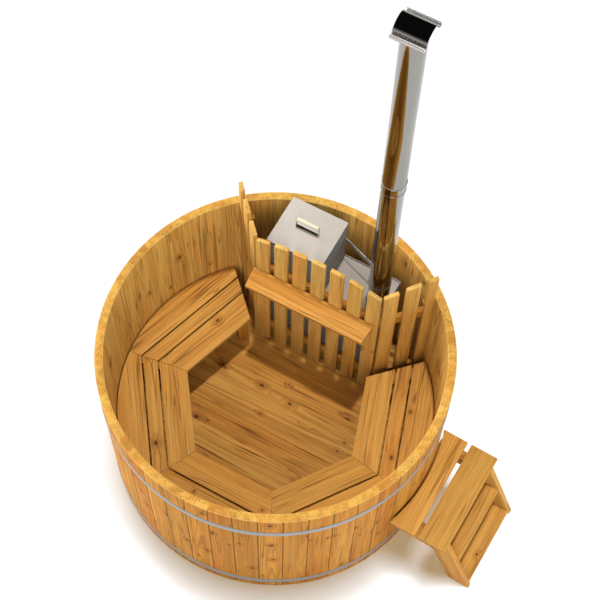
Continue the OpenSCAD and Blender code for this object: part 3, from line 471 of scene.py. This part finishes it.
def makePine(name, palette=pine, **changes):
    look = {**pineLook, **changes}
    material, tree, shader = startMaterial(name)
    grain = readAttribute(tree, "grain", "Vector")
    seed = readAttribute(tree, "seed", "Vector")
    mark = readAttribute(tree, "edge", "Fac")
    group = addNode(tree, "ShaderNodeGroup", node_tree=pineGrain)
    feed(tree, group.inputs["Grain"], grain)
    feed(tree, group.inputs["Seed"], seed)
    group.inputs["Ring Width"].default_value = look["ringWidth"]
    group.inputs["Knot Chance"].default_value = look["knotChance"]
    group.inputs["Knot Size"].default_value = look["knotSize"]
    group.inputs["Knot Spacing"].default_value = look["knotSpacing"]

    def shaded(colour):
        return tint(*(c * look["shade"] for c in colour))

    def stain(colour, output, share, target):
        strength = calc(tree, "MULTIPLY", group.outputs[output], share)
        return mixColour(tree, strength, colour, shaded(palette[target]))

    board = addNode(tree, "ShaderNodeValToRGB")
    stops = board.color_ramp.elements
    while len(stops) < len(palette["boards"]):
        stops.new(0.5)
    for stop, (position, colour) in zip(stops, palette["boards"]):
        stop.position = position
        stop.color = shaded(colour)
    tone = calc(tree, "MULTIPLY", split(tree, seed)[2], look["toneSpread"])
    feed(tree, board.inputs[0], calc(tree, "FRACT", tone))

    colour = stain(board.outputs[0], "Bands", look["bands"], "band")
    colour = stain(colour, "Streaks", look["streaks"], "streak")
    colour = stain(colour, "Halo", look["halo"], "halo")
    colour = stain(colour, "Rings", look["rings"], "lateWood")
    colour = stain(colour, "Veins", look["veins"], "vein")
    fibre = ramp(tree, group.outputs["Fibre"], *look["fibreEdge"], *look["fibreTone"])
    colour = mixColour(tree, 1.0, colour, fibre, "MULTIPLY")
    colour = stain(colour, "Knots", look["knots"], "knot")
    # a painted highlight on rounded edges where the mark is above 0, a dark joint where it is below
    # 0
    paintedEdgeHighlight = calc(tree, "MULTIPLY", mark, look["edge"], clamp=True)
    darker = calc(tree, "MULTIPLY", mark, -look["joint"], clamp=True)
    colour = mixColour(tree, paintedEdgeHighlight, colour, tint(*palette["edge"]))
    colour = mixColour(tree, darker, colour, tint(*palette["joint"]))
    path = addNode(tree, "ShaderNodeLightPath")  # light passed on to other pieces is less yellow
    passedOn = calc(tree, "MULTIPLY", path.outputs["Is Diffuse Ray"], look["bounce"])
    colour = mixColour(tree, passedOn, colour, tint(*palette["bounce"]))
    feed(tree, shader.inputs["Base Color"], colour)

    rough = calc(tree, "MULTIPLY_ADD", group.outputs["Fibre"],
                 look["fibreRough"], look["roughness"])
    rough = calc(tree, "MULTIPLY_ADD", group.outputs["Rings"], look["ringGloss"], rough)
    feed(tree, shader.inputs["Roughness"], rough)
    shader.inputs["Specular IOR Level"].default_value = look["specular"]
    height = calc(tree, "ADD", calc(tree, "MULTIPLY", group.outputs["Rings"], look["ringHeight"]),
                  calc(tree, "MULTIPLY", group.outputs["Fibre"], look["fibreHeight"]))
    height = calc(tree, "MULTIPLY_ADD", group.outputs["Veins"], look["veinHeight"], height)
    addBump(tree, shader, height, look["bump"], look["bumpDepth"])
    return material

deckWood = {
    **pine,
    "boards": [(0.0, (232, 171, 80)), (0.35, (246, 181, 88)),
               (0.7, (242, 173, 80)), (1.0, (236, 164, 74))],
    "lateWood": (166, 98, 32),
    "streak": (190, 116, 38),
    "band": (250, 194, 100),
    "vein": (122, 66, 18),
    "knot": (98, 54, 22),
    "halo": (184, 112, 42),
}
rimWood = {
    **pine,
    "boards": [(0.0, (206, 144, 60)), (0.35, (246, 184, 84)),
               (0.7, (240, 172, 74)), (1.0, (222, 152, 62))],
    "streak": (188, 116, 34),
    "band": (255, 202, 98),
}
# the inside faces of the staves: the same pine painted brighter, as painted light for the inside of
# the tub
paintedLitInnerWood = {
    **pine,
    "boards": [(0.0, (246, 188, 92)), (0.35, (255, 202, 106)),
               (0.7, (254, 194, 98)), (1.0, (250, 182, 86))],
    "streak": (214, 144, 56),
    "band": (255, 214, 120),
}
# the guard's pickets, from the same copy painted brighter as painted light for the inside of the
# tub
paintedLitGuardWood = {
    **paintedLitInnerWood,
    "boards": [(0.0, (246, 188, 94)), (0.35, (255, 200, 106)),
               (0.7, (253, 192, 98)), (1.0, (248, 182, 88))],
    "vein": (134, 76, 24),
}
creamWood = {
    "boards": [(0.0, (244, 238, 204)), (0.35, (250, 244, 212)),
               (0.7, (248, 241, 206)), (1.0, (242, 234, 196))],
    "lateWood": (214, 196, 150),
    "streak": (238, 228, 190),
    "band": (252, 246, 220),
    "vein": (214, 196, 150),
    "knot": (150, 120, 80),
    "halo": (222, 204, 160),
    "joint": (200, 180, 140),
    # the painted highlight on the grip's rounded edges
    "edge": (255, 252, 232),
    "bounce": (230, 226, 208),
}
wallPine = makePine("wallPine", joint=0.6, bands=0.45, streaks=0.4, veins=0.4,
                    knotSize=0.009, knotChance=0.5, knotSpacing=0.13)
paintedLitInnerPine = makePine("paintedLitInnerPine", paintedLitInnerWood, joint=0.6, streaks=0.42, veins=0.42, knotSize=0.012)
# the rim's rounded edges get a stronger painted highlight
rimPine = makePine("rimPine", rimWood, joint=0.6, edge=0.5, bands=0.9, streaks=0.35, veins=0.3,
                   rings=0.45, ringWidth=0.012, knotChance=0.0)
floorPine = makePine("floorPine", deckWood, rings=0.45, bands=0.3, veins=0.8, joint=0.5,
                     knotSize=0.012, knotChance=0.6)
benchPine = makePine("benchPine", deckWood, rings=0.35, streaks=0.35, bands=0.5, veins=0.65,
                     knotChance=0.35)
paintedLitGuardPine = makePine("paintedLitGuardPine", paintedLitGuardWood, rings=0.3, streaks=0.35, bands=0.6, veins=0.4,
                     knotChance=0.15)
shelfPine = makePine("shelfPine", deckWood, streaks=0.35, veins=1.0, knotChance=0.1,
                     ringWidth=0.012)
stepPine = makePine("stepPine", deckWood, rings=0.3, streaks=0.35, veins=0.45, knotChance=0.25)
framePine = makePine("framePine", rings=0.45, streaks=0.4, knotChance=0.25, shade=0.94)
paleWood = makePine("paleWood", creamWood, rings=0.3, streaks=0.1, bands=0.1, veins=0.2, edge=0.1,
                    knotChance=0.0, ringWidth=0.004)
print("pine looks ready")

surface = {"brushDetail": 3.0, "smudgeScale": 9.0, "smudgeDetail": 4.0, "rough": 0.6}

# fine scratches along one direction and broad smudges of a sheet metal surface
def buildMetalMarks():
    inputs = [("Position", "Vector"), ("Stretch", "Vector")]
    tree, given, result = startGroup("metalMarks", inputs, ["Brush", "Smudge"])
    place = given.outputs["Position"]
    stretched = addNode(tree, "ShaderNodeVectorMath", operation="MULTIPLY")
    feed(tree, stretched.inputs[0], place)
    feed(tree, stretched.inputs[1], given.outputs["Stretch"])
    brush = noise(tree, stretched.outputs[0], 1.0, surface["brushDetail"], surface["rough"])
    smudge = noise(tree, place, surface["smudgeScale"], surface["smudgeDetail"], surface["rough"])
    feed(tree, result.inputs["Brush"], brush)
    feed(tree, result.inputs["Smudge"], smudge)
    return tree

metalMarks = buildMetalMarks()

# "stretch" sets how close the scratches are in each direction, "spread" how far the gloss varies
metalLook = {
    "spread": 0.1, "smudgeSpread": 1.5, "smoothest": 0.02,
    "stretch": (60, 60, 900), "tones": 0.06, "smudgeTones": 0.6,
    "brushEdge": (0.25, 0.75), "smudgeEdge": (0.3, 0.7),
    "bump": 0.1, "bumpDepth": 0.0003, "specular": 0.5, "uprightColour": None,
}

def makeMetal(name, colour, metallic, roughness, **changes):
    look = {**metalLook, **changes}
    material, tree, shader = startMaterial(name)
    where = addNode(tree, "ShaderNodeTexCoord")
    group = addNode(tree, "ShaderNodeGroup", node_tree=metalMarks)
    feed(tree, group.inputs["Position"], where.outputs["Object"])
    group.inputs["Stretch"].default_value = look["stretch"]
    brush, smudge = group.outputs["Brush"], group.outputs["Smudge"]
    tones = look["tones"]
    tone = ramp(tree, brush, *look["brushEdge"], 1 - tones, 1 + tones)
    smudged = ramp(tree, smudge, *look["smudgeEdge"], 1 - tones * look["smudgeTones"], 1.0)
    tone = calc(tree, "MULTIPLY", tone, smudged)
    base = tint(*colour)
    if look["uprightColour"]:  # upright sheets get a darker, bluer colour as painted shade
        upright = readAttribute(tree, "upright", "Fac")
        base = mixColour(tree, upright, base, tint(*look["uprightColour"]))
    feed(tree, shader.inputs["Base Color"], mixColour(tree, 1.0, base, tone, "MULTIPLY"))
    shader.inputs["Metallic"].default_value = metallic
    shader.inputs["Specular IOR Level"].default_value = look["specular"]
    spread = look["spread"]
    dull = calc(tree, "MULTIPLY_ADD", calc(tree, "SUBTRACT", brush, 0.5), spread, roughness)
    smudgeSpread = spread * look["smudgeSpread"]
    dull = calc(tree, "MULTIPLY_ADD", calc(tree, "SUBTRACT", smudge, 0.5), smudgeSpread, dull)
    feed(tree, shader.inputs["Roughness"], calc(tree, "MAXIMUM", dull, look["smoothest"]))
    addBump(tree, shader, brush, look["bump"], look["bumpDepth"])
    return material

hoopSteel = makeMetal("hoopSteel", (178, 178, 178), 0.35, 0.5, stretch=(14, 14, 900), tones=0.04)
# its upright faces are painted darker and bluer as painted shade
stoveSheet = makeMetal("stoveSheet", (214, 204, 192), 0.0, 0.5, stretch=(600, 14, 14), specular=0.3,
                       uprightColour=(146, 150, 152))
mirrorSteel = makeMetal("mirrorSteel", (160, 159, 154), 1.0, 0.03, spread=0.05,
                        stretch=(400, 400, 3), tones=0.02, bump=0.03)
rolledSteel = makeMetal("rolledSteel", (232, 226, 222), 0.6, 0.3, stretch=(3, 400, 400), tones=0.05)
brightSteel = makeMetal("brightSteel", (196, 198, 202), 1.0, 0.25)
strapSteel = makeMetal("strapSteel", (186, 186, 188), 0.9, 0.35, stretch=(300, 300, 20))
castIron = makeMetal("castIron", (52, 51, 52), 0.5, 0.7, stretch=(220, 220, 220), tones=0.3,
                     bump=0.6)
plugRubber = makeMetal("plugRubber", (30, 30, 31), 0.0, 0.65, stretch=(150, 150, 150), tones=0.2,
                       bump=0.2)
print("metal looks ready")

def fromAxis(point):
    return math.hypot(point[0], point[1])

# marks above 0 show as a painted highlight on rounded edges, marks below 0 as dark joints
staves = {
    "outside": 0.900, "inside": 0.856, "top": 1.080, "near": 0.001, "nearby": 0.002,
    "jointRound": 0.0030, "jointMark": -1.0, "rimHighlightMark": 1.0, "shortestEdge": 0.006,
    "innerRound": 0.0010, "innerMark": -0.45,
    "uprightRise": 0.1, "uprightFace": 0.2, "rimFace": 0.3, "rimDepth": 0.004,
    "seed": 11,
}

def makeStaves():
    piece = copyNode("staves", "tubStaves")
    outside = staves["outside"] - staves["nearby"]
    inside = staves["inside"] + staves["near"]

    def upright(edge):
        one, two = edge.verts
        return abs(one.co.z - two.co.z) > staves["uprightRise"]

    def outerOrRim(edge):
        radii = [fromAxis(vertex.co) for vertex in edge.verts]
        onTop = min(vertex.co.z for vertex in edge.verts) > staves["top"] - staves["near"]
        rim = onTop and (min(radii) > outside or max(radii) < inside)
        return rim or (upright(edge) and radii[0] > outside)

    def inner(edge):
        return upright(edge) and fromAxis(edge.verts[0].co) < inside

    # rim faces get the painted highlight, upright faces the dark joint
    def outerMark(face):
        facesOut = abs(face.normal.z) < staves["uprightFace"]
        return staves["jointMark"] if facesOut else staves["rimHighlightMark"]

    softenEdges(piece, staves["jointRound"], staves["shortestEdge"], outerOrRim, outerMark)
    softenEdges(piece, staves["innerRound"], where=inner, mark=staves["innerMark"])
    layGrain(piece, staves["seed"])
    smoothFaces(piece)
    handOver(piece, wallPine, "staves")
    # the inside faces take the copy painted brighter as painted light; the rim takes its own end
    # grain
    piece.data.materials.append(paintedLitInnerPine)
    piece.data.materials.append(rimPine)
    for face in piece.data.polygons:
        if face.normal.z > staves["rimFace"] and face.center.z > staves["top"] - staves["rimDepth"]:
            face.material_index = 2
        elif fromAxis(face.center) < staves["inside"] + staves["nearby"]:
            face.material_index = 1

makeStaves()
print("staves made")

# every other wooden piece: its name, its look, how far its edges are rounded and its boards' seed
boards = {
    "floor_boards": ("floorDeck", floorPine, 0.0012, 21),
    "floor_bearers": ("floorBearers", framePine, 0.0020, 22),
    "bench_beams": ("seatBeams", framePine, 0.0020, 23),
    "bench_legs": ("seatLegs", framePine, 0.0025, 24),
    "bench_wall_blocks": ("seatWallBlocks", framePine, 0.0020, 25),
    "pickets_front": ("frontPickets", paintedLitGuardPine, 0.0025, 26),
    "pickets_left": ("leftPickets", paintedLitGuardPine, 0.0025, 27),
    "pickets_right": ("rightPickets", paintedLitGuardPine, 0.0025, 28),
    "guard_rails_upper": ("upperRails", framePine, 0.0020, 29),
    "guard_rails_lower": ("lowerRails", framePine, 0.0020, 30),
    "guard_wall_battens": ("wallBattens", framePine, 0.0020, 31),
    "shelf_board": ("guardShelf", shelfPine, 0.0030, 32),
    "shelf_brackets": ("shelfBrackets", framePine, 0.0020, 33),
    "step_board_inner": ("platformInner", stepPine, 0.0030, 34),
    "step_board_outer": ("platformOuter", stepPine, 0.0030, 35),
    "step_tread_middle": ("middleTread", stepPine, 0.0030, 36),
    "step_board_low": ("lowBoard", stepPine, 0.0030, 37),
    "step_side_left": ("stepSideLeft", stepPine, 0.0030, 38),
    "step_side_right": ("stepSideRight", stepPine, 0.0030, 39),
    "step_ledger": ("stepLedger", framePine, 0.0020, 40),
    "step_cleats": ("stepCleats", framePine, 0.0015, 41),
}
bench = {"lengths": 5, "rows": ("front", "middle", "back"), "round": 0.0025, "seed": 50}

def makeBoard(node, name, look, width, seed):
    piece = copyNode(node, name)
    softenEdges(piece, width)
    layGrain(piece, seed)
    smoothFaces(piece)
    handOver(piece, look, node)

for node, settings in boards.items():
    makeBoard(node, *settings)
for length in range(1, bench["lengths"] + 1):
    for number, row in enumerate(bench["rows"]):
        seed = bench["seed"] + len(bench["rows"]) * length + number
        name = f"seat{length}{row.capitalize()}"
        makeBoard(f"bench_{length}_{row}", name, benchPine, bench["round"], seed)
print("boards made")

# metal and rubber pieces that keep their nodes' shapes: name, look and how far edges are rounded
sheets = {
    "hoop_upper": ("upperHoop", hoopSteel, 0.0006),
    "hoop_lower": ("lowerHoop", hoopSteel, 0.0006),
    "stove_body": ("stoveShell", stoveSheet, 0.0010),
    "stove_lid": ("shaftLid", stoveSheet, 0.0015),
    "lid_grip_bracket": ("gripBracket", brightSteel, 0.0005),
    "stove_feet": ("stoveFeet", strapSteel, 0.0006),
    "flue_clamp": ("flueBand", strapSteel, 0.0005),
    "flue_strut": ("flueStrut", strapSteel, 0.0006),
    "cap_straps": ("capStraps", strapSteel, 0.0004),
    "stove_grate": ("fireGrate", castIron, 0.0012),
    "drain_fitting": ("drainFitting", brightSteel, 0.0006),
    "drain_nut": ("drainNut", brightSteel, 0.0006),
    "drain_plug": ("drainPlug", plugRubber, 0.0012),
    "hoop_bolts": ("hoopRods", brightSteel, 0.0004),
}
sheetEdges = {"shortest": 0.004, "uprightFace": 0.5}

def makeSheets():
    for node, (name, look, width) in sheets.items():
        piece = copyNode(node, name)
        softenEdges(piece, width, shortest=sheetEdges["shortest"])
        smoothFaces(piece)
        # the stove's upright faces are marked for their painted shade
        if look is stoveSheet:
            layer = piece.data.attributes.new("upright", "FLOAT", "FACE")
            slopes = readNumbers(piece.data.polygons, "normal", 3)[:, 2]
            upright = abs(slopes) < sheetEdges["uprightFace"]
            layer.data.foreach_set("value", upright.astype(np.float32))
        handOver(piece, look, node)

makeSheets()
for node in ("bench_screws", "guard_screws", "step_screws", "strut_bolt"):
    nodes[node].data.materials.clear()
    nodes[node].data.materials.append(brightSteel)
print("metal pieces made")

# the flue's radii and heights; its axis comes from the frame
flue = {
    "radius": 0.0575, "wall": 0.0015, "top": 3.085,
    "collar": 0.060, "foot": 0.8, "collarTop": 0.803, "collarRound": 0.0006,
    "spigotGap": 0.0003, "spigotTop": 0.873,
    "lowerTop": 1.999, "lowerRows": (1.2, 1.6), "upperRows": (2.4, 2.8),
    "sleeve": 0.0578, "jointLow": 1.940, "jointHigh": 2.002, "sleeveEnd": 0.0025,
    "sleeveSlope": 0.005, "ring": 0.0022, "ringPoints": 9,
}

def middle(node):
    low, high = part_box(node)
    return ((low.x + high.x) / 2, (low.y + high.y) / 2)

# points of an arc round (radius, height), from one angle to another in degrees
def arc(radius, height, size, start, end, count):
    turns = [math.radians(start + (end - start) * k / (count - 1)) for k in range(count)]
    return [(radius + size * math.cos(turn), height + size * math.sin(turn)) for turn in turns]

def makeFluePiece(name, outline, node):
    piece = spinOutline(name, outline, middle("flue_lower"))
    smoothFaces(piece)
    handOver(piece, mirrorSteel, node)

def makeFlue():
    outer, inner = flue["radius"], flue["radius"] - flue["wall"]
    lowerTop, collarTop = flue["lowerTop"], flue["collarTop"]
    outline = [(inner, collarTop), (outer, collarTop)]
    outline += [(outer, height) for height in flue["lowerRows"]]
    outline += [(outer, lowerTop), (inner, lowerTop)]
    makeFluePiece("flueLower", outline, "flue_lower")

    sleeve, sleeveOut = flue["sleeve"], flue["sleeve"] + flue["wall"]
    low, high, ring, count = flue["jointLow"], flue["jointHigh"], flue["ring"], flue["ringPoints"]
    outline = [(sleeve, low)]
    outline += arc(sleeveOut, low + ring, ring, -90, 90, count)
    outline += arc(sleeveOut, high - ring, ring, -90, 90, count)
    outline += [(sleeveOut, high), (outer, high + flue["sleeveSlope"])]
    outline += [(outer, height) for height in flue["upperRows"]]
    outline += [(outer, flue["top"]), (inner, flue["top"])]
    outline += [(inner, high - flue["sleeveEnd"]), (sleeve, high - flue["sleeveEnd"])]
    makeFluePiece("flueUpper", outline, "flue_upper")

    collar, foot, corner = flue["collar"], flue["foot"], flue["collarRound"]
    spigot = inner - flue["spigotGap"]
    bore = spigot - flue["wall"]
    outline = [(bore, foot), (collar, foot)]
    outline += [(collar, collarTop - corner), (collar - corner, collarTop)]
    outline += [(spigot, collarTop), (spigot, flue["spigotTop"]), (bore, flue["spigotTop"])]
    makeFluePiece("flueCollar", outline, "flue_collar")

makeFlue()
print("flue made")

# an arched sheet with an outward roll along each edge
rainCap = {
    "length": 0.150, "halfWidth": 0.0585, "rise": 0.0519, "foot": 3.110, "sheet": 0.0015,
    "curl": 0.012, "sweep": 250, "curlPoints": 24, "archPoints": 41, "rolledFrom": 0.001,
}

def makeRainCap():
    centre = middle("flue_lower")
    halfWidth, rise, sheet = rainCap["halfWidth"], rainCap["rise"], rainCap["sheet"]
    outer = (halfWidth ** 2 + rise ** 2) / (2 * rise)
    slope = math.asin(halfWidth / outer)
    half = math.degrees(slope)
    level = rainCap["foot"] + rise - outer
    radius, size = outer - sheet / 2, rainCap["curl"] - sheet / 2
    curlAt = outer + rainCap["curl"] - sheet
    right = []
    for k in range(1, rainCap["curlPoints"] + 1):
        turn = math.radians(270 - half + rainCap["sweep"] * k / rainCap["curlPoints"])
        right.append((curlAt * math.sin(slope) + size * math.cos(turn),
                      curlAt * math.cos(slope) + size * math.sin(turn)))
    turns = np.radians(np.linspace(half, -half, rainCap["archPoints"]))
    arch = [(radius * math.sin(turn), radius * math.cos(turn)) for turn in turns]
    line = right[::-1] + arch + [(-y, z) for y, z in right]
    points = [(centre[0] - rainCap["length"] / 2, centre[1] + y, level + z) for y, z in line]
    piece = startLoop("rainCap", points, closed=False)
    bpy.ops.mesh.extrude_region_move(TRANSFORM_OT_translate={"value": (rainCap["length"], 0, 0)})
    bpy.ops.mesh.select_all(action="SELECT")
    bpy.ops.mesh.normals_make_consistent(inside=False)
    leaveEdit()
    workOn(piece)
    bpy.ops.object.modifier_add(type="SOLIDIFY")
    thick = piece.modifiers[-1]
    thick.thickness = sheet
    thick.offset = 0
    bpy.ops.object.modifier_apply(modifier=thick.name)
    smoothFaces(piece)
    handOver(piece, mirrorSteel, "rain_cap")
    piece.data.materials.append(rolledSteel)
    for face in piece.data.polygons:
        if abs(face.center.y - centre[1]) > halfWidth + rainCap["rolledFrom"]:
            face.material_index = 1

makeRainCap()
print("rain cap made")

# a turned handle with a thin pin at each end
grip = {
    "length": 0.126, "radius": 0.011, "round": 0.002, "pin": 0.004, "pinOut": 0.004,
    "roundPoints": 5, "steps": 40, "seed": 71,
}

def makeGrip():
    low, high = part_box("lid_grip")
    centre = (low + high) / 2
    half, corner, pin = grip["length"] / 2, grip["round"], grip["pin"]
    end = half + grip["pinOut"]
    outline = [(0.0, -end), (pin, -end), (pin, -half)]
    outline += arc(grip["radius"] - corner, -half + corner, corner, -90, 0, grip["roundPoints"])
    outline += arc(grip["radius"] - corner, half - corner, corner, 0, 90, grip["roundPoints"])
    outline += [(pin, half), (pin, end), (0.0, end)]
    piece = spinOutline("lidGrip", outline, (0, 0), grip["steps"], closed=False)
    for vertex in piece.data.vertices:
        x, y, z = vertex.co
        vertex.co = (centre.x + z, centre.y + y, centre.z - x)
    layGrain(piece, grip["seed"])
    smoothFaces(piece)
    handOver(piece, paleWood, "lid_grip")

makeGrip()
print("grip made")

# the camera sees the floor in "shaded" with "glow" added; other rays see it in "floor"
stage = {
    "size": 16.0, "floor": (250, 250, 250), "shaded": (208, 226, 244), "glow": (158, 130, 92),
    "floorRough": 0.22, "floorSpecular": 0.5,
    "ambient": 0.06,
    "rimGlow": (0.0, 0.08), "topGlow": 0.01,
    "haze": 0.45, "hazeFront": (-0.3, 0.1), "hazeHeight": (0.05, 0.4),
    "lampHeight": 5,
}

# each lamp: the way its light goes, its strength, its spread in degrees, and what it lights
lamps = {
    "keyLight": ((0.01, -0.05, -1.0), 1.24, 2.0, "rest"),
    "leftFill": ((0.90, 0.0, -0.42), 1.84, 75.0, "rest"),
    "lowFill": ((0.97, 0.0, -0.20), 1.50, 40.0, "rest"),
    "rightFill": ((-0.90, 0.0, -0.42), 1.05, 75.0, "rest"),
    "frontFill": ((-0.30, 0.70, -0.62), 0.92, 30.0, "rest"),
    "floorLight": ((0.05, -0.12, -1.0), 3.30, 20.0, "floor"),
}

def makeFloor():
    bpy.ops.object.select_all(action="DESELECT")
    bpy.ops.mesh.primitive_plane_add(size=stage["size"], location=(0, 0, 0))
    floor = bpy.context.object
    floor.name = "studioFloor"
    material, tree, shader = startMaterial("studioFloor")
    seen = addNode(tree, "ShaderNodeLightPath").outputs["Is Camera Ray"]
    base = mixColour(tree, seen, tint(*stage["floor"]), tint(*stage["shaded"]))
    feed(tree, shader.inputs["Base Color"], base)
    glow = mixColour(tree, seen, (0, 0, 0, 1), tint(*stage["glow"]))
    feed(tree, shader.inputs["Emission Color"], glow)
    shader.inputs["Emission Strength"].default_value = 1.0
    shader.inputs["Roughness"].default_value = stage["floorRough"]
    shader.inputs["Specular IOR Level"].default_value = stage["floorSpecular"]
    floor.data.materials.append(material)
    return floor

# pale to the camera, dim as ambient light; in reflections bright at the horizon, hazy at the front
def makeWorld():
    world = bpy.data.worlds.new("studio")
    bpy.context.scene.world = world
    world.use_nodes = True
    tree = world.node_tree
    tree.nodes.clear()
    path = addNode(tree, "ShaderNodeLightPath").outputs
    back, height = split(tree, addNode(tree, "ShaderNodeTexCoord").outputs["Generated"])[1:]
    rimGlow = ramp(tree, height, *stage["rimGlow"], 1.0, stage["topGlow"])
    haze = calc(tree, "MULTIPLY", ramp(tree, back, *stage["hazeFront"], stage["haze"], 0.0),
                ramp(tree, height, *stage["hazeHeight"], 1.0, 0.0))
    mirrored = calc(tree, "MAXIMUM", rimGlow, haze)
    seen = calc(tree, "MAXIMUM", path["Is Camera Ray"], path["Is Transmission Ray"])
    lighting = mixNumber(tree, path["Is Glossy Ray"], stage["ambient"], mirrored)
    background = addNode(tree, "ShaderNodeBackground")
    feed(tree, background.inputs["Strength"], mixNumber(tree, seen, lighting, 1.0))
    feed(tree, addNode(tree, "ShaderNodeOutputWorld").inputs[0], background.outputs[0])

# the floor has a lamp of its own, so that its shadow is soft while those in the tub are crisp
def makeLamps(floor):
    for name, (heading, energy, spread, lit) in lamps.items():
        bpy.ops.object.light_add(type="SUN", location=(0, 0, stage["lampHeight"]))
        lamp = bpy.context.object
        lamp.name = name
        lamp.data.energy = energy
        lamp.data.angle = math.radians(spread)
        lamp.rotation_euler = Vector(heading).to_track_quat("-Z", "Y").to_euler()
        receivers = bpy.data.collections.new(name + "Receivers")
        receivers.objects.link(floor)
        linking = receivers.collection_objects[0].light_linking
        linking.link_state = "INCLUDE" if lit == "floor" else "EXCLUDE"
        lamp.light_linking.receiver_collection = receivers

floor = makeFloor()
makeWorld()
makeLamps(floor)
bpy.context.scene.view_settings.view_transform = "Standard"
print("stage set")
